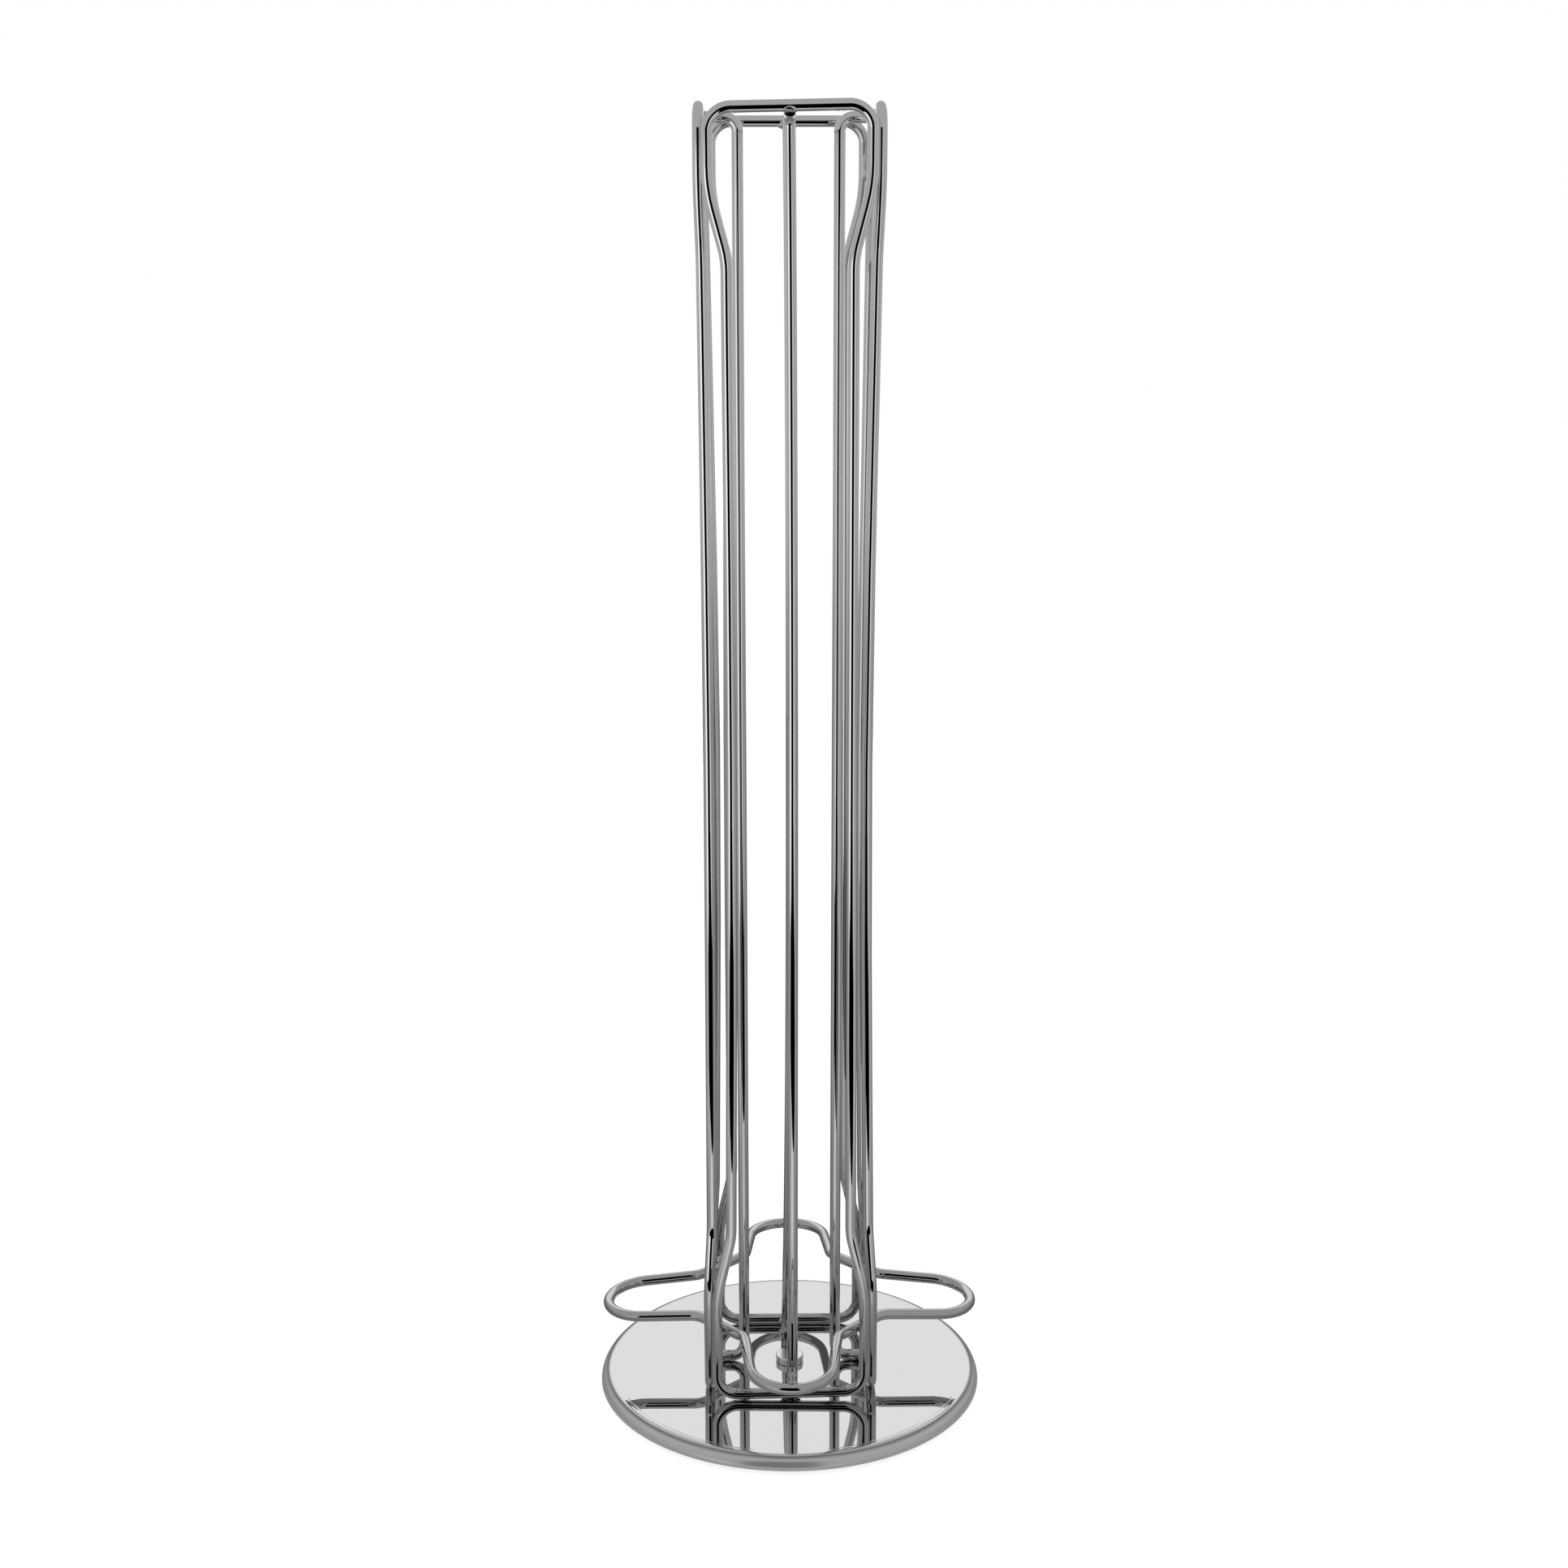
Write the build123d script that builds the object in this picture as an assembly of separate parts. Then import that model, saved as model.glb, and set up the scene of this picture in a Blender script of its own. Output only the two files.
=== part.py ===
from build123d import *
import os
from math import asin, cos, degrees, radians, sin, sqrt, tan

# Revolving wire tower for coffee capsules.
#
# Four closed wire frames stand round a vertical axis on a round plate.  Each frame is a
# chute: a capsule goes in through the wide window at the top, its rim slides down behind
# the narrow legs, and it comes to rest over a lobe of the catch ring, in front of the
# wide window at the foot.  The plate and all that stands on it turn on one rivet, over a
# foot plate that stays still.
#
# Millimetres, +Z up, origin on the table under the axis.  Every piece of the front side
# is drawn once, at -Y, and turned about the axis for the other three sides.

# ---- wire ---------------------------------------------------------------------------
WIRE = 3.3                # diameter of every wire
R = WIRE / 2
TOUCH_GAP = 0.02          # daylight between wires that only touch

# ---- base, from the table upwards ---------------------------------------------------
GRIP_HEIGHT = 1.8         # rubber ring under the foot plate
GRIP_INNER = 38.0         # radii
GRIP_OUTER = 47.0
FOOT_SHEET = 1.2          # foot plate
FOOT_RADIUS = 50.0
FOOT_CHAMFER = 0.3
GLIDE_SHEET = 0.8         # plastic disc that the turntable slides on
GLIDE_RADIUS = 45.0
GLIDE_PLAY = 0.1
COVER_SHEET = 1.2         # turntable pressing
COVER_RADIUS = 60.3
COVER_EDGE = 4.5          # width of its rounded edge, seen from above
COVER_DROP = 3.8          # height of its rounded edge, outside

# ---- pivot rivet --------------------------------------------------------------------
SHANK_RADIUS = 2.5
SHANK_CLEARANCE = 0.05    # running fit in the turntable
HEAD_RADIUS = 4.4
HEAD_HEIGHT = 2.1
HEAD_ROUND = 0.5
HEAD_PLAY = 0.15          # daylight under the head
TAIL_RADIUS = 4.0
TAIL_HEIGHT = 0.8
WASHER_RADIUS = 6.5
WASHER_SHEET = 0.5

# ---- chute frames, heights above the turntable --------------------------------------
FRAME_OFFSET = 25.05      # from the axis to the plane of a frame
WIDE_HALF = 22.7          # half the leg spacing at the windows, wire centre to centre
NARROW_HALF = 17.6        # half the leg spacing where the chute begins
FOOT_HALF = 18.3          # and where it ends, so that the rims never jam
TOP_BAR = 384.0
FOOT_BAR = R + 0.15
CORNER_RADIUS = 6.5
TOP_NECK = 353.3          # middle of the upper neck
FOOT_NECK = 44.2          # middle of the lower neck
NECK_RUN = 19.0           # height over which a leg moves in
NECK_WIDE_RADIUS = 42.0
NECK_NARROW_RADIUS = 26.0
NECK_LEAN = 0.6           # how far the legs lean in under the upper neck
LEG_BOW = 2.5             # in the middle, before the bend is rounded
FOOT_LEAN = 1.1           # and over the lower neck
BOW_RADIUS = 5000.0

# ---- guide rods ---------------------------------------------------------------------
ROD_OFFSET = 14.5         # from the axis
ROD_TOP = TOP_BAR - 1.2   # level of the bent end that meets the top bar
ROD_BEND = 4.0
ROD_STUB = 0.5            # how far short of the bar's centre line the wire is cut

# ---- catch ring ---------------------------------------------------------------------
RING_LEVEL = 23.0         # at the corners, where the frames carry it
LOBE_HALF = 13.0          # half the width of a lobe, wire centre to centre
LOBE_ROOT = 30.0          # from the axis to the bend line where a lobe starts to slope
LOBE_TIP = 57.2
LOBE_DROOP = 3.6          # degrees
LOBE_BEND = 7.0

# ---- weld beads: half sizes along the bar, outwards and upwards ----------------------
TOP_BEAD = (3.1, 1.95, 1.35)
TOP_BEAD_SHIFT = (0.25, -1.1)         # from the bar's centre line: inwards, upwards
FOOT_BEAD = (3.3, 2.3, 1.75)
FOOT_BEAD_SHIFT = (1.3, -0.15)
CORNER_BEAD = (0.95, 0.95, 4.0)
CORNER_BEAD_SHIFT = 1.25              # from the touching line of two legs, inwards
CORNER_BEAD_LEVEL = 371.0
RING_BEAD = (1.5, 1.5, 1.9)
RING_BEAD_SHIFT = 1.9
RING_BEAD_RISE = 1.1                  # above the ring's centre line

# ---- levels that follow -------------------------------------------------------------
FOOT_TOP = GRIP_HEIGHT + FOOT_SHEET
GLIDE_TOP = FOOT_TOP + GLIDE_SHEET
COVER_UNDER = GLIDE_TOP + GLIDE_PLAY
DECK = COVER_UNDER + COVER_SHEET      # top of the turntable
SIDES = ("front", "right", "back", "left")


def turned(shape, quarter):
    """A piece of the front side, moved to another side."""
    return Rot(0, 0, 90 * quarter) * shape


def wire_along(path):
    """Round wire along a path."""
    section = Plane(path @ 0, z_dir=path % 0) * Circle(R)
    return sweep(section, path=path)


def cut_by(shape, *tools):
    """What is left of a piece outside its neighbours."""
    for tool in tools:
        shape = shape - tool
    return shape


def disc(radius, low, high):
    """Flat round piece about the axis, between two levels."""
    return Pos(0, 0, (low + high) / 2) * Cylinder(radius, high - low)


# ---- chute frame --------------------------------------------------------------------
def frame():
    """Closed wire of the front chute: one half, and its mirror image."""
    out = -FRAME_OFFSET
    half_run = NECK_RUN / 2
    middle = (TOP_NECK + FOOT_NECK) / 2
    corners = [
        (0, out, TOP_BAR),
        (WIDE_HALF, out, TOP_BAR),
        (WIDE_HALF, out, TOP_NECK + half_run),
        (NARROW_HALF, out + NECK_LEAN, TOP_NECK - half_run),
        ((NARROW_HALF + FOOT_HALF) / 2, out + LEG_BOW, middle),
        (FOOT_HALF, out + FOOT_LEAN, FOOT_NECK + half_run),
        (WIDE_HALF, out, FOOT_NECK - half_run),
        (WIDE_HALF, out, FOOT_BAR),
        (0, out, FOOT_BAR),
    ]
    radii = [CORNER_RADIUS, NECK_WIDE_RADIUS, NECK_NARROW_RADIUS, BOW_RADIUS,
             NECK_NARROW_RADIUS, NECK_WIDE_RADIUS, CORNER_RADIUS]
    half = wire_along(Pos(0, 0, DECK) * FilletPolyline(*corners, radius=radii))
    return half + mirror(half, about=Plane.YZ)


# ---- guide rod ----------------------------------------------------------------------
def rod(frame_wire):
    """Guide rod of the front chute.  Both ends bend out and seat on the frame's bars."""
    end = -(FRAME_OFFSET - ROD_STUB)
    corners = [
        (0, end, ROD_TOP),
        (0, -ROD_OFFSET, ROD_TOP),
        (0, -ROD_OFFSET, FOOT_BAR),
        (0, end, FOOT_BAR),
    ]
    wire = wire_along(Pos(0, 0, DECK) * FilletPolyline(*corners, radius=ROD_BEND))
    return cut_by(wire, frame_wire)


# ---- catch ring ---------------------------------------------------------------------
def rounded(before, corner, after, radius):
    """Arc that rounds the corner of a polyline."""
    way_in = (corner - before).normalized()
    way_out = (after - corner).normalized()
    half_turn = radians(way_in.get_angle(way_out) / 2)
    reach = radius * tan(half_turn)
    rise = radius * (1 / cos(half_turn) - 1)
    inward = (way_out - way_in).normalized()
    return ThreePointArc(corner - way_in * reach, corner + inward * rise,
                         corner + way_out * reach)


def lobe():
    """Path of one lobe of the catch ring, from the middle of one corner to the next."""
    slope = radians(LOBE_DROOP)
    level = DECK + RING_LEVEL
    touch = FRAME_OFFSET + WIDE_HALF - sqrt(2) * (WIRE + TOUCH_GAP)   # |x| + |y|
    side_length = (LOBE_TIP - LOBE_HALF - LOBE_ROOT) / cos(slope)

    def on_lobe(across, along):
        return Vector(across, -LOBE_ROOT - along * cos(slope), level - along * sin(slope))

    start = Vector(-touch / 2, -touch / 2, level)
    stop = Vector(touch / 2, -touch / 2, level)
    side_in = on_lobe(-LOBE_HALF, side_length)
    side_out = on_lobe(LOBE_HALF, side_length)
    arc_in = rounded(start, Vector(-LOBE_HALF, LOBE_HALF - touch, level), side_in, LOBE_BEND)
    arc_out = rounded(side_out, Vector(LOBE_HALF, LOBE_HALF - touch, level), stop, LOBE_BEND)
    tip = ThreePointArc(side_in, on_lobe(0, side_length + LOBE_HALF), side_out)
    return [Line(start, arc_in @ 0), arc_in, Line(arc_in @ 1, side_in), tip,
            Line(side_out, arc_out @ 0), arc_out, Line(arc_out @ 1, stop)]


def catch_ring():
    """One closed wire with four lobes: half of it, and the same turned over."""
    half = wire_along(Wire([turned(edge, i) for i in range(2) for edge in lobe()]))
    return half + turned(half, 2)


# ---- weld beads ---------------------------------------------------------------------
def bead(half_sizes):
    """Rounded bead, before its neighbours are taken out of it."""
    return scale(Sphere(1), by=half_sizes)


def bar_beads(half_sizes, shift, level, neighbours):
    """Beads that join the end of each rod to the bar of its frame."""
    inwards, upwards = shift
    place = Pos(0, -FRAME_OFFSET + inwards, DECK + level + upwards)
    one = cut_by(place * bead(half_sizes), *neighbours)
    return Compound([turned(s, i) for i in range(4) for s in one.solids()])


def corner_place(shift, level):
    """Point on the diagonal between the front and right frames."""
    across = (FRAME_OFFSET + WIDE_HALF) / 2 - shift / sqrt(2)
    return (across, -across, DECK + level)


def corner_beads(half_sizes, shift, level, neighbours):
    """Beads at the four corners, where neighbouring frames touch."""
    place = Pos(*corner_place(shift, level)) * Rot(0, 0, 45)
    one = cut_by(place * bead(half_sizes), *neighbours)
    return Compound([turned(s, i) for i in range(4) for s in one.solids()])


def wires_at_corner():
    """Straight stretches of the two legs and the ring, where they meet at a corner."""
    leg = Pos(0, 0, DECK + RING_LEVEL) * Cylinder(R, 4 * WIRE)
    ring_wire = Rot(0, 0, 45) * Cylinder(R, 4 * WIRE, rotation=(0, 90, 0))
    return (Pos(WIDE_HALF, -FRAME_OFFSET) * leg,
            Pos(FRAME_OFFSET, -WIDE_HALF) * leg,
            Pos(*corner_place(WIRE + TOUCH_GAP, RING_LEVEL)) * ring_wire)


# ---- base ---------------------------------------------------------------------------
def cover():
    """Turntable: a round pressing with a turned-down edge and a hole for the rivet."""
    shoulder = COVER_RADIUS - COVER_EDGE
    edge_radius = (COVER_EDGE ** 2 + COVER_DROP ** 2) / (2 * COVER_DROP)
    sweep_angle = degrees(asin(COVER_EDGE / edge_radius))
    hole = SHANK_RADIUS + SHANK_CLEARANCE
    centre = (shoulder, DECK - edge_radius)
    outer = CenterArc(centre, edge_radius, 90, -sweep_angle)
    inner = CenterArc(centre, edge_radius - COVER_SHEET, 90, -sweep_angle)
    top = Polyline(inner @ 0, (hole, COVER_UNDER), (hole, DECK), outer @ 0)
    section = Plane.XZ * make_face(inner + top + outer + Line(outer @ 1, inner @ 1))
    return revolve(section, axis=Axis.Z)


def glide_disc():
    """Plastic disc between the turntable and the foot plate."""
    return disc(GLIDE_RADIUS, FOOT_TOP, GLIDE_TOP) - disc(SHANK_RADIUS, 0, DECK)


def foot_plate():
    """Steel disc that stays still on the table."""
    plate = disc(FOOT_RADIUS, GRIP_HEIGHT, FOOT_TOP)
    plate = chamfer(plate.edges(), length=FOOT_CHAMFER)
    return plate - disc(SHANK_RADIUS, 0, DECK)


def grip_ring():
    """Rubber ring that the tower stands on."""
    return disc(GRIP_OUTER, 0, GRIP_HEIGHT) - disc(GRIP_INNER, 0, GRIP_HEIGHT)


def rivet_washer():
    """Washer that spreads the rivet's tail over the foot plate."""
    ring = disc(WASHER_RADIUS, GRIP_HEIGHT - WASHER_SHEET, GRIP_HEIGHT)
    return ring - disc(SHANK_RADIUS, 0, DECK)


def pivot_rivet():
    """Rivet: round head over the turntable, shank, and a tail under the washer."""
    head_low = DECK + HEAD_PLAY
    tail_top = GRIP_HEIGHT - WASHER_SHEET
    head = disc(HEAD_RADIUS, head_low, head_low + HEAD_HEIGHT)
    head = fillet(head.edges().group_by(Axis.Z)[-1], radius=HEAD_ROUND)
    shank = disc(SHANK_RADIUS, tail_top - TAIL_HEIGHT / 2, head_low + HEAD_HEIGHT / 2)
    tail = disc(TAIL_RADIUS, tail_top - TAIL_HEIGHT, tail_top)
    tail = fillet(tail.edges().group_by(Axis.Z)[0], radius=TAIL_HEIGHT / 2)
    return head + shank + tail


# ---- all pieces ---------------------------------------------------------------------
def pieces():
    """Every piece of the tower, by node name."""
    front_frame = frame()
    front_rod = rod(front_frame)
    ring = catch_ring()
    legs = (front_frame, turned(front_frame, 1))
    made = {
        "turntable_cover": cover(),
        "glide_disc": glide_disc(),
        "foot_plate": foot_plate(),
        "grip_ring": grip_ring(),
        "rivet_washer": rivet_washer(),
        "pivot_rivet": pivot_rivet(),
        "catch_ring": ring,
        "top_welds": bar_beads(TOP_BEAD, TOP_BEAD_SHIFT, TOP_BAR, (front_frame, front_rod)),
        "foot_welds": bar_beads(FOOT_BEAD, FOOT_BEAD_SHIFT, FOOT_BAR,
                                (front_frame, front_rod, disc(COVER_RADIUS, 0, DECK))),
        "corner_welds": corner_beads(CORNER_BEAD, CORNER_BEAD_SHIFT, CORNER_BEAD_LEVEL, legs),
        "ring_welds": corner_beads(RING_BEAD, RING_BEAD_SHIFT, RING_LEVEL + RING_BEAD_RISE,
                                   wires_at_corner()),
    }
    for i, side in enumerate(SIDES):
        made["chute_frame_" + side] = turned(front_frame, i)
        made["guide_rod_" + side] = turned(front_rod, i)
    return made


os.makedirs("parts", exist_ok=True)
for name, shape in pieces().items():
    export_step(shape, "parts/" + name + ".step")
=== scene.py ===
from math import cos, pi, radians, sin, sqrt, tan

import bpy
from mathutils import Matrix, Quaternion, Vector


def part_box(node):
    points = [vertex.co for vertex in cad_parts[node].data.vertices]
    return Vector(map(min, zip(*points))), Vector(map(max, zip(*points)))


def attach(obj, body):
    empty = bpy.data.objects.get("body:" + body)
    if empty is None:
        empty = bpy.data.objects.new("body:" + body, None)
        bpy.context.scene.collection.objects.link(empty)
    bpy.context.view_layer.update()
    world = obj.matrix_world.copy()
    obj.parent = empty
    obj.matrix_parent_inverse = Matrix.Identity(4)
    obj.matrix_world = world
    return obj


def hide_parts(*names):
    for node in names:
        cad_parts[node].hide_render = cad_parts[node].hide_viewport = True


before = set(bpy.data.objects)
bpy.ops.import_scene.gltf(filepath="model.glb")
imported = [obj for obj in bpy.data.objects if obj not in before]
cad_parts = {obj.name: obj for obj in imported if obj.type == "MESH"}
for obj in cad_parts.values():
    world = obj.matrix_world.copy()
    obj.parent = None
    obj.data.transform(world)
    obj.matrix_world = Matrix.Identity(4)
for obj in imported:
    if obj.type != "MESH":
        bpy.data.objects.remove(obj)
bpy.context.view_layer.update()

# Revolving wire tower for coffee capsules, in chrome, in front of a plain white ground.
# Metres, +Z up.  Each wire is a smooth swept tube that stands for its CAD node.

MM = 0.001
SIDES = ("front", "right", "back", "left")

# ---- wires: centre lines as in the CAD model -----------------------------------------
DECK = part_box("turntable_cover")[1][2]              # top of the turntable
WIRE = 3.3 * MM
R = WIRE / 2
FRAME_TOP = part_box("chute_frame_front")[1][2] - R   # centre line of the top bars
FRAME_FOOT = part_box("chute_frame_front")[0][2] + R
FRAME_OFFSET = -(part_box("chute_frame_front")[0][1] + R)
WIDE_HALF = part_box("chute_frame_front")[1][0] - R
NARROW_HALF = 17.6 * MM
FOOT_HALF = 18.3 * MM
CORNER_RADIUS = 6.5 * MM
TOP_NECK = DECK + 353.3 * MM
FOOT_NECK = DECK + 44.2 * MM
NECK_RUN = 19.0 * MM
NECK_WIDE_RADIUS = 42.0 * MM
NECK_NARROW_RADIUS = 26.0 * MM
NECK_LEAN = 0.6 * MM
LEG_BOW = 2.5 * MM
FOOT_LEAN = 1.1 * MM
BOW_RADIUS = 5.0
ROD_OFFSET = 14.5 * MM
ROD_TOP = FRAME_TOP - 1.2 * MM
ROD_BEND = 4.0 * MM
ROD_STUB = 0.5 * MM
RING_LEVEL = DECK + 23.0 * MM
LOBE_HALF = 14.2 * MM                               # half a lobe's width at its root
LOBE_ROOT = 30.0 * MM
LOBE_TIP = 57.7 * MM
LOBE_TAPER = radians(6)                             # lean of each of its sides
LOBE_DROOP = radians(3.6)
LOBE_BEND = 7.0 * MM
TOUCH_GAP = 0.02 * MM
AROUND = 40                                         # facets round a wire
ARC_STEP = radians(4)
RUN_STEP = 8 * MM
FOOT_SHADE_HEIGHTS = (DECK + 4 * MM, DECK + 60 * MM)         # over which painted shade darkens the chrome downwards, towards the turntable

# ---- turntable and rivet -------------------------------------------------------------
COVER_SHEET = 1.2 * MM
COVER_RADIUS = 60.3 * MM
COVER_ROLL = 3.75 * MM                              # radius of its rolled edge
COVER_HOLE = 2.55 * MM
COVER_FACETS = 360
ROLL_FACETS = 30
LIP_EASE = 0.03                                     # share of the sheet, at the lip's rims
SHADING_MARGIN = 0.04 * MM                          # keeps the shading flat beside a bend
CREASE_INSET = 0.75 * MM                            # fine pressed line round the top
CREASE_HALF = 0.22 * MM
CREASE_DEPTH = 0.05 * MM
MIRROR_TILT = radians(16)                           # where the edge turns satin
HEAD_RADIUS = 4.4 * MM                              # of the rivet, which stands on the mirror
# Painted reflection and shade in the satin, as bands: share of the way from the top's rim to
# the outside, and grey.
RIM_PAINTED_BANDS = ((0.0, 0.84), (0.30, 0.60), (0.44, 0.20), (0.56, 0.40), (0.68, 0.58),
             (0.80, 0.56), (0.90, 0.54), (0.97, 0.56), (1.0, 0.62))

# ---- how this tower was put together by hand: small offsets from square ---------------
# Heights go from 0 at the foot bar to 1 at the top bar.
FRAME_SKEW = 0.9 * MM                               # front frame: right leg set higher
LEG_SWAY = {                                        # left leg, right leg: (along, inwards)
    "front": ((0.8 * MM, 0.0), (0.0, 0.0)),
    "right": ((0.0, 0.4 * MM), (0.0, 0.0)),
    "back": ((0.0, 0.0), (0.5 * MM, 0.0)),
    "left": ((0.0, 0.2 * MM), (0.0, -0.9 * MM)),
}
BOW_FULLNESS = 0.6                                  # how evenly a rod's bow is spread
LEAN_REACH = 6                                      # how close to the foot its lean stays
ROD_SWAY = {                                        # bow, and lean of the foot
    "front": (0.8 * MM, 0.6 * MM),
    "right": (0.0, 0.0),
    "back": (-0.85 * MM, 1.0 * MM),
    "left": (0.0, 0.0),
}


# ---- paths ---------------------------------------------------------------------------
def turned(points, quarter):
    """Points of the front side, turned about the axis to another side."""
    spin = Matrix.Rotation(quarter * pi / 2, 3, "Z")
    return [spin @ p for p in points]


def straight(a, b, step=RUN_STEP):
    """Points from a up to, but without, b."""
    count = max(1, round((b - a).length / step))
    return [a.lerp(b, i / count) for i in range(count)]


def corner_arc(before, corner, after, radius):
    """Points of the arc that rounds a corner, both ends included."""
    way_in = (corner - before).normalized()
    way_out = (after - corner).normalized()
    turn = way_in.angle(way_out)
    axis = way_in.cross(way_out).normalized()
    start = corner - way_in * (radius * tan(turn / 2))
    centre = start + axis.cross(way_in) * radius
    count = max(2, round(turn / ARC_STEP))
    arm = start - centre
    return [centre + Quaternion(axis, turn * i / count) @ arm for i in range(count + 1)]


def filleted(corners, radii):
    """Polyline with rounded corners, as closely set points."""
    points = []
    last = corners[0]
    for i, radius in enumerate(radii, start=1):
        arc = corner_arc(corners[i - 1], corners[i], corners[i + 1], radius)
        points += straight(last, arc[0]) + arc[:-1]
        last = arc[-1]
    return points + straight(last, corners[-1]) + [corners[-1]]


def frame_path():
    """Closed path of the front frame, starting in the middle of the top bar."""
    out = -FRAME_OFFSET
    run = NECK_RUN / 2
    middle = (TOP_NECK + FOOT_NECK) / 2
    corners = [Vector(c) for c in (
        (0, out, FRAME_TOP),
        (WIDE_HALF, out, FRAME_TOP),
        (WIDE_HALF, out, TOP_NECK + run),
        (NARROW_HALF, out + NECK_LEAN, TOP_NECK - run),
        ((NARROW_HALF + FOOT_HALF) / 2, out + LEG_BOW, middle),
        (FOOT_HALF, out + FOOT_LEAN, FOOT_NECK + run),
        (WIDE_HALF, out, FOOT_NECK - run),
        (WIDE_HALF, out, FRAME_FOOT),
        (0, out, FRAME_FOOT))]
    radii = [CORNER_RADIUS, NECK_WIDE_RADIUS, NECK_NARROW_RADIUS, BOW_RADIUS,
             NECK_NARROW_RADIUS, NECK_WIDE_RADIUS, CORNER_RADIUS]
    half = filleted(corners, radii)
    other = [Vector((-p.x, p.y, p.z)) for p in reversed(half[1:-1])]
    return half + other


def rod_path():
    """Path of the front guide rod, from the top bar to the foot bar."""
    end = -FRAME_OFFSET + ROD_STUB
    corners = [Vector(c) for c in ((0, end, ROD_TOP), (0, -ROD_OFFSET, ROD_TOP),
                                   (0, -ROD_OFFSET, FRAME_FOOT), (0, end, FRAME_FOOT))]
    return filleted(corners, [ROD_BEND, ROD_BEND])


def height_share(p):
    """Height of a point, from 0 at the foot bar to 1 at the top bar."""
    return min(1, max(0, (p.z - FRAME_FOOT) / (FRAME_TOP - FRAME_FOOT)))


def set_frame(path, side):
    """Front-side path of a frame, with the small offsets of one side's legs."""
    skew = FRAME_SKEW if side == "front" else 0.0
    moved = []
    for p in path:
        t = height_share(p)
        along, inwards = LEG_SWAY[side][0 if p.x < 0 else 1]
        sway = sin(pi * t) ** 2 * min(1, abs(p.x) / FOOT_HALF)
        across = p.x / (2 * WIDE_HALF)
        rise = skew * ((0.5 + across) * (1 - t) - (0.5 - across) * t)
        moved.append(Vector((p.x + along * sway, p.y + inwards * sway, p.z + rise)))
    return moved


def set_rod(path, side):
    """Front-side path of a rod, bowed sideways and leaning at its foot."""
    skew = FRAME_SKEW / 2 if side == "front" else 0.0
    bow, lean = ROD_SWAY[side]
    moved = []
    for p in path:
        t = height_share(p)
        sway = bow * sin(pi * t) ** BOW_FULLNESS + lean * (1 - t) ** LEAN_REACH
        moved.append(Vector((p.x + sway, p.y, p.z + skew * (1 - 2 * t))))
    return moved


def ring_path():
    """Closed path of the catch ring."""
    touch = FRAME_OFFSET + WIDE_HALF - sqrt(2) * (WIRE + TOUCH_GAP)
    length = (LOBE_TIP - LOBE_ROOT) / cos(LOBE_DROOP)
    narrowing = (1 - sin(LOBE_TAPER)) / cos(LOBE_TAPER)
    side = (length - LOBE_HALF * narrowing) / (1 - tan(LOBE_TAPER) * narrowing)
    half = LOBE_HALF - side * tan(LOBE_TAPER)
    radius = half / cos(LOBE_TAPER)

    def on_lobe(across, along):
        return Vector((across, -LOBE_ROOT - along * cos(LOBE_DROOP),
                       RING_LEVEL - along * sin(LOBE_DROOP)))

    start = Vector((-touch / 2, -touch / 2, RING_LEVEL))
    stop = Vector((touch / 2, -touch / 2, RING_LEVEL))
    side_in, side_out = on_lobe(-half, side), on_lobe(half, side)
    arc_in = corner_arc(start, Vector((-LOBE_HALF, LOBE_HALF - touch, RING_LEVEL)), side_in,
                        LOBE_BEND)
    arc_out = corner_arc(side_out, Vector((LOBE_HALF, LOBE_HALF - touch, RING_LEVEL)), stop,
                         LOBE_BEND)
    count = round(pi / ARC_STEP)
    turns = [LOBE_TAPER + (pi - 2 * LOBE_TAPER) * i / count for i in range(count)]
    centre = side - radius * sin(LOBE_TAPER)
    tip = [on_lobe(-radius * cos(a), centre + radius * sin(a)) for a in turns]
    lobe = (straight(start, arc_in[0]) + arc_in[:-1] + straight(arc_in[-1], side_in) + tip
            + straight(side_out, arc_out[0]) + arc_out[:-1] + straight(arc_out[-1], stop))
    return [p for i in range(4) for p in turned(lobe, i)]


# ---- meshes --------------------------------------------------------------------------
def smooth_piece(name, vertices, faces, flat=()):
    """Object from points and faces, smooth but for the faces named as flat."""
    mesh = bpy.data.meshes.new(name)
    mesh.from_pydata(vertices, [], faces)
    mesh.validate()
    mesh.polygons.foreach_set("use_smooth", [i not in flat for i in range(len(faces))])
    piece = bpy.data.objects.new(name, mesh)
    bpy.context.scene.collection.objects.link(piece)
    return piece


def tangents(path, closed):
    """Unit direction of a path at each of its points."""
    last = len(path) - 1
    found = []
    for i, p in enumerate(path):
        ahead = path[(i + 1) % len(path)] if closed or i < last else p
        behind = path[i - 1] if closed or i > 0 else p
        found.append((ahead - behind).normalized())
    return found


def tube(name, path, closed, node):
    """Round wire along a path, which stands for a CAD node."""
    ways = tangents(path, closed)
    side = ways[0].orthogonal().normalized()
    vertices, faces = [], []
    for i, (p, way) in enumerate(zip(path, ways)):
        if i:
            side = ways[i - 1].rotation_difference(way) @ side
        side = (side - way * side.dot(way)).normalized()
        up = way.cross(side)
        for k in range(AROUND):
            a = 2 * pi * k / AROUND
            vertices.append(p + (side * cos(a) + up * sin(a)) * R)
    rings = len(path)
    for i in range(rings if closed else rings - 1):
        for k in range(AROUND):
            n = (k + 1) % AROUND
            j = (i + 1) % rings
            faces.append((i * AROUND + k, i * AROUND + n, j * AROUND + n, j * AROUND + k))
    flat = ()
    if not closed:
        flat = (len(faces), len(faces) + 1)
        faces.append(tuple(reversed(range(AROUND))))
        faces.append(tuple(range((rings - 1) * AROUND, rings * AROUND)))
    piece = smooth_piece(name, vertices, faces, flat)
    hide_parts(node)
    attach(piece, "turntable")
    return piece


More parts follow.
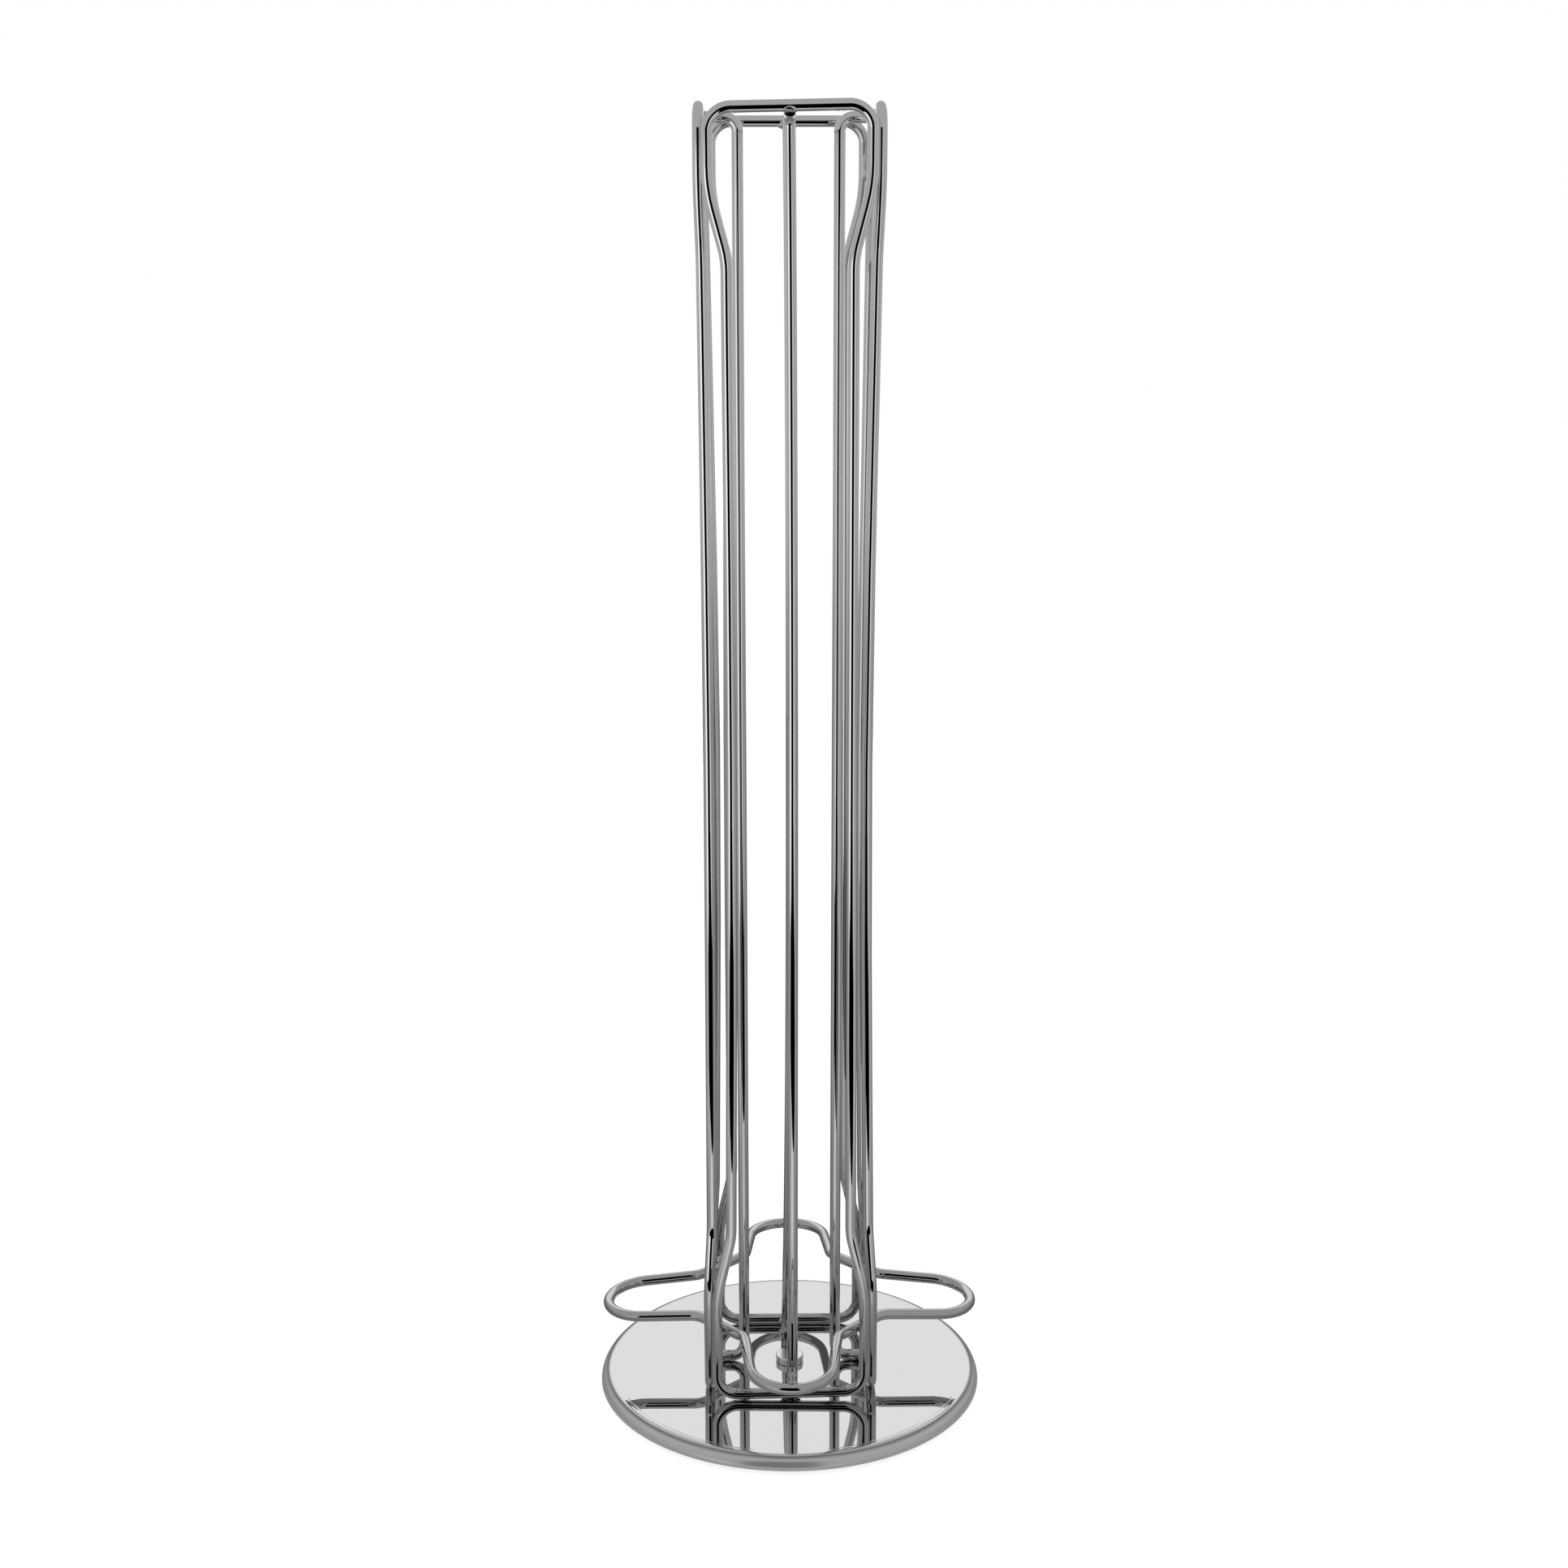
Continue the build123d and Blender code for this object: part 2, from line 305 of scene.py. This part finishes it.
def lathe(name, profile, around):
    """Closed piece turned about the axis from a closed profile of (radius, height)."""
    vertices, faces = [], []
    size = len(profile)
    for k in range(around):
        a = 2 * pi * k / around
        vertices += [(r * cos(a), r * sin(a), z) for r, z in profile]
        n = (k + 1) % around
        for i in range(size):
            j = (i + 1) % size
            faces.append((k * size + i, k * size + j, n * size + j, n * size + i))
    return smooth_piece(name, vertices, faces)


# ---- materials -----------------------------------------------------------------------
def new_material(name):
    """Node material, with its nodes and links."""
    material = bpy.data.materials.new(name)
    material.use_nodes = True
    return material, material.node_tree.nodes, material.node_tree.links


def dress(piece, material):
    """Give a piece one material, in place of what it has."""
    piece.data.materials.clear()
    piece.data.materials.append(material)


def value(nodes, links, operation, first, second=None, third=None):
    """Math node on sockets or plain numbers, and its result."""
    node = nodes.new("ShaderNodeMath")
    node.operation = operation
    for i, given in enumerate((first, second, third)):
        if isinstance(given, (int, float)):
            node.inputs[i].default_value = given
        elif given is not None:
            links.new(given, node.inputs[i])
    return node.outputs[0]


def step(nodes, links, given, low, high, least=0.0, most=1.0):
    """Smooth step of a socket, from least at low to most at high."""
    node = nodes.new("ShaderNodeMapRange")
    node.interpolation_type = "SMOOTHSTEP"
    node.inputs["From Min"].default_value = low
    node.inputs["From Max"].default_value = high
    node.inputs["To Min"].default_value = least
    node.inputs["To Max"].default_value = most
    links.new(given, node.inputs["Value"])
    return node.outputs["Result"]


def split(nodes, links, vector):
    """X, Y and Z of a vector socket."""
    node = nodes.new("ShaderNodeSeparateXYZ")
    links.new(vector, node.inputs[0])
    return node.outputs["X"], node.outputs["Y"], node.outputs["Z"]


def chrome(name, tint=(0.80, 0.80, 0.81), haze=(0.0, 0.02), haze_scale=60.0,
           ripple=0.003, ripple_scale=90.0, foot_shade_share=1.0):
    """Bright plating: faint haze in patches, a shallow ripple, and painted shade that darkens
    it towards the foot.
    """
    material, nodes, links = new_material(name)
    shader = nodes["Principled BSDF"]
    shader.inputs["Metallic"].default_value = 1.0
    place = nodes.new("ShaderNodeTexCoord")
    _, _, z = split(nodes, links, place.outputs["Object"])
    # Painted shade: the tint is scaled down over the lowest heights, towards the turntable.
    share = step(nodes, links, z, *FOOT_SHADE_HEIGHTS, foot_shade_share, 1.0)
    shaded_tint = nodes.new("ShaderNodeVectorMath")
    shaded_tint.operation = "SCALE"
    shaded_tint.inputs[0].default_value = tint
    links.new(share, shaded_tint.inputs["Scale"])
    links.new(shaded_tint.outputs[0], shader.inputs["Base Color"])
    patches = nodes.new("ShaderNodeTexNoise")
    patches.inputs["Scale"].default_value = haze_scale
    patches.inputs["Detail"].default_value = 4.0
    spread = nodes.new("ShaderNodeMapRange")
    spread.inputs["From Min"].default_value = 0.3
    spread.inputs["From Max"].default_value = 0.7
    spread.inputs["To Min"].default_value = haze[0]
    spread.inputs["To Max"].default_value = haze[1]
    wave = nodes.new("ShaderNodeTexNoise")
    wave.inputs["Scale"].default_value = ripple_scale
    wave.inputs["Detail"].default_value = 2.0
    bump = nodes.new("ShaderNodeBump")
    bump.inputs["Strength"].default_value = ripple
    bump.inputs["Distance"].default_value = 0.5 * MM
    links.new(place.outputs["Object"], patches.inputs["Vector"])
    links.new(place.outputs["Object"], wave.inputs["Vector"])
    links.new(patches.outputs["Fac"], spread.inputs["Value"])
    links.new(spread.outputs["Result"], shader.inputs["Roughness"])
    links.new(wave.outputs["Fac"], bump.inputs["Height"])
    links.new(bump.outputs["Normal"], shader.inputs["Normal"])
    return material


def satin_rim(name):
    """Rolled edge of the pressing: satin, with painted bands of reflection and shade across
    it.
    """
    material, nodes, links = new_material(name)
    shader = nodes["Principled BSDF"]
    shader.inputs["Metallic"].default_value = 0.7
    shader.inputs["Roughness"].default_value = 0.2
    place = nodes.new("ShaderNodeTexCoord")
    flat = nodes.new("ShaderNodeMapping")
    flat.inputs["Scale"].default_value = (1, 1, 0)
    reach = nodes.new("ShaderNodeVectorMath")
    reach.operation = "LENGTH"
    across = nodes.new("ShaderNodeMapRange")
    across.inputs["From Min"].default_value = COVER_RADIUS - COVER_ROLL
    across.inputs["From Max"].default_value = COVER_RADIUS
    # Painted reflection and shade: grey bands in the base colour, by distance from the axis.
    rings = nodes.new("ShaderNodeValToRGB")
    stops = rings.color_ramp.elements
    while len(stops) < len(RIM_PAINTED_BANDS):
        stops.new(0.5)
    for stop, (position, grey) in zip(stops, RIM_PAINTED_BANDS):
        stop.position = position
        stop.color = (grey, grey, grey * 1.01, 1)
    fine = nodes.new("ShaderNodeTexNoise")
    fine.inputs["Scale"].default_value = 250.0
    bump = nodes.new("ShaderNodeBump")
    bump.inputs["Strength"].default_value = 0.01
    bump.inputs["Distance"].default_value = 0.2 * MM
    links.new(place.outputs["Object"], flat.inputs["Vector"])
    links.new(flat.outputs["Vector"], reach.inputs[0])
    links.new(reach.outputs["Value"], across.inputs["Value"])
    links.new(across.outputs["Result"], rings.inputs["Fac"])
    links.new(rings.outputs["Color"], shader.inputs["Base Color"])
    links.new(place.outputs["Object"], fine.inputs["Vector"])
    links.new(fine.outputs["Fac"], bump.inputs["Height"])
    links.new(bump.outputs["Normal"], shader.inputs["Normal"])
    return material


def plain(name, low, high, roughness, grain_scale, bump_strength, metallic=0.0):
    """Dull surface: two close colours in fine grain, with a matching bump."""
    material, nodes, links = new_material(name)
    shader = nodes["Principled BSDF"]
    shader.inputs["Metallic"].default_value = metallic
    shader.inputs["Roughness"].default_value = roughness
    place = nodes.new("ShaderNodeTexCoord")
    grain = nodes.new("ShaderNodeTexNoise")
    grain.inputs["Scale"].default_value = grain_scale
    grain.inputs["Detail"].default_value = 5.0
    colours = nodes.new("ShaderNodeMix")
    colours.data_type = "RGBA"
    colours.inputs["A"].default_value = (*low, 1)
    colours.inputs["B"].default_value = (*high, 1)
    bump = nodes.new("ShaderNodeBump")
    bump.inputs["Strength"].default_value = bump_strength
    bump.inputs["Distance"].default_value = 0.2 * MM
    links.new(place.outputs["Object"], grain.inputs["Vector"])
    links.new(grain.outputs["Fac"], colours.inputs["Factor"])
    links.new(colours.outputs["Result"], shader.inputs["Base Color"])
    links.new(grain.outputs["Fac"], bump.inputs["Height"])
    links.new(bump.outputs["Normal"], shader.inputs["Normal"])
    return material


# ---- pieces --------------------------------------------------------------------------
def cover_profile():
    """Section of the turntable: mirror top, a crease, the rolled edge, and the inside."""
    shoulder = COVER_RADIUS - COVER_ROLL
    radius, inside = COVER_ROLL, COVER_ROLL - COVER_SHEET
    angles = [pi / 2 * i / ROLL_FACETS for i in range(ROLL_FACETS + 1)]
    outer = [(shoulder + radius * sin(a), DECK - radius * (1 - cos(a))) for a in angles]
    inner = [(shoulder + inside * sin(a), DECK - radius + inside * cos(a)) for a in angles]
    lip = [(outer[-1][0] + (inner[-1][0] - outer[-1][0]) * t,
            outer[-1][1] + (inner[-1][1] - outer[-1][1]) * t)
           for t in (LIP_EASE, 1 - LIP_EASE)]
    under = DECK - COVER_SHEET
    margin = SHADING_MARGIN
    crease = shoulder - CREASE_INSET
    top = [(COVER_HOLE, DECK), (COVER_HOLE + margin, DECK), (HEAD_RADIUS, DECK),
           (shoulder / 2, DECK), (crease - CREASE_HALF - margin, DECK),
           (crease - CREASE_HALF, DECK), (crease, DECK - CREASE_DEPTH),
           (crease + CREASE_HALF, DECK), (crease + CREASE_HALF + margin, DECK),
           (shoulder - margin, DECK)]
    bottom = [(shoulder - margin, under), (COVER_HOLE + margin, under), (COVER_HOLE, under)]
    mirror_rows = len(top) + sum(a < MIRROR_TILT for a in angles) - 1
    return top + outer + lip + list(reversed(inner)) + bottom, mirror_rows


# The wires carry painted shade towards the foot, down to this share of their tint.
wire_chrome = chrome("wire_chrome", foot_shade_share=0.62)
cover_chrome = chrome("cover_chrome", tint=(0.71, 0.71, 0.72), ripple=0.001,
                      ripple_scale=40.0, haze=(0.0, 0.03), haze_scale=30.0)
edge_satin = satin_rim("edge_satin")
bead_chrome = chrome("bead_chrome", tint=(0.72, 0.72, 0.73), haze=(0.08, 0.2), ripple=0.25,
                     ripple_scale=900.0)
rivet_steel = chrome("rivet_steel", tint=(0.78, 0.78, 0.79), haze=(0.12, 0.25), ripple=0.05,
                     ripple_scale=500.0)
zinc = plain("zinc", (0.42, 0.44, 0.46), (0.58, 0.60, 0.62), 0.42, 900.0, 0.08, metallic=1.0)
acetal = plain("acetal", (0.78, 0.78, 0.75), (0.84, 0.84, 0.81), 0.45, 400.0, 0.04)
rubber = plain("rubber", (0.016, 0.016, 0.017), (0.035, 0.035, 0.037), 0.75, 1500.0, 0.2)

front_frame, front_rod = frame_path(), rod_path()
for i, side in enumerate(SIDES):
    loop = turned(set_frame(front_frame, side), i)
    rod = turned(set_rod(front_rod, side), i)
    dress(tube("frame_wire_" + side, loop, True, "chute_frame_" + side), wire_chrome)
    dress(tube("rod_wire_" + side, rod, False, "guide_rod_" + side), wire_chrome)
dress(tube("catch_ring_wire", ring_path(), True, "catch_ring"), wire_chrome)

profile, edge_start = cover_profile()
cover = lathe("turntable_pressing", profile, COVER_FACETS)
dress(cover, cover_chrome)
cover.data.materials.append(edge_satin)
for face in cover.data.polygons:
    face.material_index = int(face.index % len(profile) >= edge_start)
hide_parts("turntable_cover")
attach(cover, "turntable")

for node in ("top_welds", "foot_welds", "corner_welds", "ring_welds"):
    dress(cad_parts[node], bead_chrome)
dress(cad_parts["pivot_rivet"], rivet_steel)
dress(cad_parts["rivet_washer"], zinc)
dress(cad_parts["foot_plate"], zinc)
dress(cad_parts["glide_disc"], acetal)
dress(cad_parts["grip_ring"], rubber)

# ---- ground and light ----------------------------------------------------------------
# The camera sees a plain white ground, and the chrome sees the same white behind the tower.
# Elsewhere the chrome sees a grey studio, as in the photograph: a bright wall on the left, a
# dimmer one on the right, and where the camera stands a dark screen and a dark cloth.
FLOOR_HALF = 6.0
PLATE_SHARE = 0.80                    # what the plating gives back
LIGHT_WALLS = (                       # direction from the front, in degrees; brightness
    (-180, 0.16), (-116, 0.16), (-100, 0.26), (-80, 0.32), (-66, 0.34), (-58, 0.58),
    (-46, 0.90), (-26, 0.95), (0, 0.62), (20, 0.60), (36, 0.46), (48, 0.30),
    (60, 0.28), (80, 0.34), (94, 0.22), (116, 0.16), (180, 0.16))
WALL_REACH = (0.35, 0.75)             # distance over which the table gives way to the walls
WALL_RISE = (radians(1), radians(7))  # elevation over which the walls give way to the room
ROOM_GREY = 0.355
FLOOR_LIGHT = 0.8                     # ground as the camera sees it: white, and the share
FLOOR_PAINT = 0.3                     # that a shadow can darken
FLOOR_NEAR = 0.23                     # table, round the foot and farther out
FLOOR_GREY = 0.36
FLOOR_REACH = (0.16, 0.30)
FLOOR_REAR = 0.45                     # share of that behind the tower
FLOOR_TURN = (-0.10, 0.12)
FLOOR_GLOW = 0.30                     # lighter patch on the table, close in front
GLOW_CENTRE = (-0.02, -0.17, 0)
GLOW_REACH = (0.03, 0.12)
CARD_RADIUS = 0.62                    # curved card round the back and sides
CARD_HEIGHTS = (0.10, 0.62)
CARD_RISEN = 0.26                     # height at which it has its full brightness
CARD_SPAN = (-20, 200)                # degrees, from the right
CARD_TURN = (0.45, 0.56)              # depth over which the sides give way to the back
CARD_REAR = PLATE_SHARE               # backdrop behind, white as the camera sees it
CARD_SIDE = 0.38                      # its dimmer sides
CARD_FOOT = 0.24                      # and the foot it fades into
CARD_FACETS = 48
SCREEN = ((-0.42, -0.75), (0.25, -0.75))        # foot of the dark screen, seen from above
SCREEN_TOP = 0.47
SCREEN_EAVES = ((0.09, -0.41), (-0.12, -0.41))  # near edge of its top
SCREEN_MIDDLE = -0.085
SCREEN_SOFT = (0.25, 0.335)           # distance from there over which it turns grey
CLOTH = ((-0.25, -0.235), (-0.37, -0.36), (-0.31, -0.52), (0.26, -0.52), (0.32, -0.36),
         (0.25, -0.235), (0.18, -0.193), (0.11, -0.190), (0.012, -0.222), (-0.085, -0.250))
CLOTH_THICKNESS = 0.2 * MM


def blend(nodes, links, share, first, second):
    """Mix of two numbers or sockets by a third."""
    node = nodes.new("ShaderNodeMix")
    node.data_type = "FLOAT"
    links.new(share, node.inputs["Factor"])
    for name, given in (("A", first), ("B", second)):
        socket = next(s for s in node.inputs if s.name == name and s.type == "VALUE")
        if isinstance(given, (int, float)):
            socket.default_value = given
        else:
            links.new(given, socket)
    return next(s for s in node.outputs if s.type == "VALUE")


def wall_light(nodes, links, x, y):
    """Brightness of the studio walls in the direction of a point or a ray."""
    behind = value(nodes, links, "MULTIPLY", y, -1.0)
    angle = value(nodes, links, "ARCTAN2", x, behind)
    turn = value(nodes, links, "MULTIPLY_ADD", angle, 1 / (2 * pi), 0.5)
    ramp = nodes.new("ShaderNodeValToRGB")
    stops = ramp.color_ramp.elements
    while len(stops) < len(LIGHT_WALLS):
        stops.new(0.5)
    for stop, (direction, bright) in zip(stops, LIGHT_WALLS):
        stop.position = direction / 360 + 0.5
        stop.color = (bright, bright, bright, 1)
    links.new(turn, ramp.inputs["Fac"])
    return ramp.outputs["Color"]


def stage_mesh(name, corners, faces=None):
    """Piece of the studio, which isn't part of the object."""
    mesh = bpy.data.meshes.new(name)
    mesh.from_pydata(corners, [], faces or [tuple(range(len(corners)))])
    piece = bpy.data.objects.new(name, mesh)
    bpy.context.scene.collection.objects.link(piece)
    return piece


def mirror_only(card):
    """Card of the studio that only polished surfaces see."""
    card.visible_camera = False
    card.visible_diffuse = False
    card.visible_shadow = False


def seen_directly(nodes, links):
    """1 for what the camera or a dull surface sees, 0 for what a mirror sees."""
    path = nodes.new("ShaderNodeLightPath")
    return value(nodes, links, "SUBTRACT", 1.0, path.outputs["Is Glossy Ray"])


def ground_material():
    """White to the camera, with a soft shadow; a studio table in the chrome."""
    material, nodes, links = new_material("ground")
    nodes.remove(nodes["Principled BSDF"])
    place = nodes.new("ShaderNodeTexCoord").outputs["Object"]
    x, y, _ = split(nodes, links, place)
    reach = nodes.new("ShaderNodeVectorMath")
    reach.operation = "LENGTH"
    links.new(place, reach.inputs[0])
    ahead = nodes.new("ShaderNodeVectorMath")
    ahead.operation = "DISTANCE"
    ahead.inputs[1].default_value = GLOW_CENTRE
    links.new(place, ahead.inputs[0])
    glow = step(nodes, links, ahead.outputs["Value"], *GLOW_REACH, FLOOR_GLOW, 0.0)
    grey = step(nodes, links, reach.outputs["Value"], *FLOOR_REACH, FLOOR_NEAR, FLOOR_GREY)
    behind = step(nodes, links, y, *FLOOR_TURN, 1.0, FLOOR_REAR)
    near = value(nodes, links, "MULTIPLY_ADD", grey, behind, glow)
    far = step(nodes, links, reach.outputs["Value"], *WALL_REACH)
    table = blend(nodes, links, far, near, wall_light(nodes, links, x, y))
    table = value(nodes, links, "DIVIDE", table, PLATE_SHARE)
    white = nodes.new("ShaderNodeEmission")
    white.inputs["Strength"].default_value = FLOOR_LIGHT
    paint = nodes.new("ShaderNodeBsdfDiffuse")
    paint.inputs["Color"].default_value = (FLOOR_PAINT, FLOOR_PAINT, FLOOR_PAINT, 1)
    direct = nodes.new("ShaderNodeAddShader")
    links.new(white.outputs[0], direct.inputs[0])
    links.new(paint.outputs[0], direct.inputs[1])
    mirrored = nodes.new("ShaderNodeEmission")
    links.new(table, mirrored.inputs["Strength"])
    both = nodes.new("ShaderNodeMixShader")
    links.new(seen_directly(nodes, links), both.inputs["Fac"])
    links.new(mirrored.outputs[0], both.inputs[1])
    links.new(direct.outputs[0], both.inputs[2])
    links.new(both.outputs[0], nodes["Material Output"].inputs["Surface"])
    return material


def studio_world():
    """White to the camera and to dull surfaces; the studio's walls in the chrome."""
    world = bpy.data.worlds.new("studio")
    bpy.context.scene.world = world
    world.use_nodes = True
    nodes, links = world.node_tree.nodes, world.node_tree.links
    place = nodes.new("ShaderNodeTexCoord")
    x, y, z = split(nodes, links, place.outputs["Generated"])
    rise = value(nodes, links, "ARCSINE", z)
    above = step(nodes, links, rise, *WALL_RISE)
    room = blend(nodes, links, above, wall_light(nodes, links, x, y), ROOM_GREY)
    room = value(nodes, links, "DIVIDE", room, PLATE_SHARE)
    seen = blend(nodes, links, seen_directly(nodes, links), room, 1.0)
    links.new(seen, nodes["Background"].inputs["Strength"])
    nodes["Background"].inputs["Color"].default_value = (1, 1, 1, 1)


def light_card():
    """White backdrop with greyer sides and foot, as the turntable mirrors it."""
    corners = []
    for i in range(CARD_FACETS + 1):
        a = radians(CARD_SPAN[0] + (CARD_SPAN[1] - CARD_SPAN[0]) * i / CARD_FACETS)
        corners += [(CARD_RADIUS * cos(a), CARD_RADIUS * sin(a), z) for z in CARD_HEIGHTS]
    faces = [(2 * i, 2 * i + 2, 2 * i + 3, 2 * i + 1) for i in range(CARD_FACETS)]
    card = stage_mesh("light_card", corners, faces)
    mirror_only(card)
    material, nodes, links = new_material("light_card")
    nodes.remove(nodes["Principled BSDF"])
    _, y, z = split(nodes, links, nodes.new("ShaderNodeTexCoord").outputs["Object"])
    bright = step(nodes, links, y, *CARD_TURN, CARD_SIDE / PLATE_SHARE,
                  CARD_REAR / PLATE_SHARE)
    risen = step(nodes, links, z, CARD_HEIGHTS[0], CARD_RISEN)
    bright = blend(nodes, links, risen, CARD_FOOT / PLATE_SHARE, bright)
    light = nodes.new("ShaderNodeEmission")
    links.new(bright, light.inputs["Strength"])
    links.new(light.outputs[0], nodes["Material Output"].inputs["Surface"])
    dress(card, material)


def card_paint(name, soft_edges):
    """Black for the dark cards; a card with soft edges turns grey to the left and right."""
    material, nodes, links = new_material(name)
    nodes.remove(nodes["Principled BSDF"])
    light = nodes.new("ShaderNodeEmission")
    light.inputs["Strength"].default_value = 0.0
    if soft_edges:
        x, _, _ = split(nodes, links, nodes.new("ShaderNodeTexCoord").outputs["Object"])
        aside = value(nodes, links, "ABSOLUTE",
                      value(nodes, links, "SUBTRACT", x, SCREEN_MIDDLE))
        grey = step(nodes, links, aside, *SCREEN_SOFT, 0.0, ROOM_GREY / PLATE_SHARE)
        links.new(grey, light.inputs["Strength"])
    links.new(light.outputs[0], nodes["Material Output"].inputs["Surface"])
    return material


def dark_cards():
    """Dark screen round the camera, with its top, and dark cloth on the table before it."""
    black, soft = card_paint("dark_cloth", False), card_paint("dark_screen", True)
    left, right = SCREEN

    def at(height, *places):
        return [(x, y, height) for x, y in places]

    for name, corners, paint in (
            ("dark_cloth", at(CLOTH_THICKNESS, *CLOTH), black),
            ("dark_runner", at(CLOTH_THICKNESS, CLOTH[2], left, right, CLOTH[3]), black),
            ("dark_screen", at(0, left, right) + at(SCREEN_TOP, right, left), soft),
            ("dark_screen_top", at(SCREEN_TOP, SCREEN_EAVES[1], left, right, SCREEN_EAVES[0]),
             soft)):
        card = stage_mesh(name, corners)
        dress(card, paint)
        mirror_only(card)


h = FLOOR_HALF
dress(stage_mesh("floor", ((-h, -h, 0), (h, -h, 0), (h, h, 0), (-h, h, 0))),
      ground_material())
studio_world()
light_card()
dark_cards()

# ---- camera --------------------------------------------------------------------------
CAMERA_DISTANCE = 613.3 * MM          # from the turning axis
CAMERA_RISE = 325.9 * MM              # above the turntable
CAMERA_PITCH = radians(12.493)
CAMERA_YAW = radians(-0.143)
CAMERA_ROLL = radians(-0.08)
TOWER_TURN = radians(0.927)           # how far the tower stands turned from square
FOCAL_SHARE = 2559.97 / 1932          # focal length over the width of the picture


def add_camera():
    """Camera that looks at the front chute from a little above its middle."""
    data = bpy.data.cameras.new("camera")
    data.sensor_width = 36.0
    data.lens = 36.0 * FOCAL_SHARE
    data.clip_start = 0.01
    camera = bpy.data.objects.new("camera", data)
    bpy.context.scene.collection.objects.link(camera)
    ahead = Vector((sin(CAMERA_YAW) * cos(CAMERA_PITCH), cos(CAMERA_YAW) * cos(CAMERA_PITCH),
                    -sin(CAMERA_PITCH)))
    right = Vector((cos(CAMERA_YAW), -sin(CAMERA_YAW), 0))
    up = right.cross(ahead)
    right, up = (right * cos(CAMERA_ROLL) + up * sin(CAMERA_ROLL),
                 up * cos(CAMERA_ROLL) - right * sin(CAMERA_ROLL))
    pose = Matrix((right, up, -ahead)).transposed().to_4x4()
    pose.translation = (0, -CAMERA_DISTANCE, DECK + CAMERA_RISE)
    camera.matrix_world = Matrix.Rotation(-TOWER_TURN, 4, "Z") @ pose
    bpy.context.scene.camera = camera


add_camera()
bpy.context.scene.view_settings.view_transform = "Standard"

bpy.context.view_layer.update()
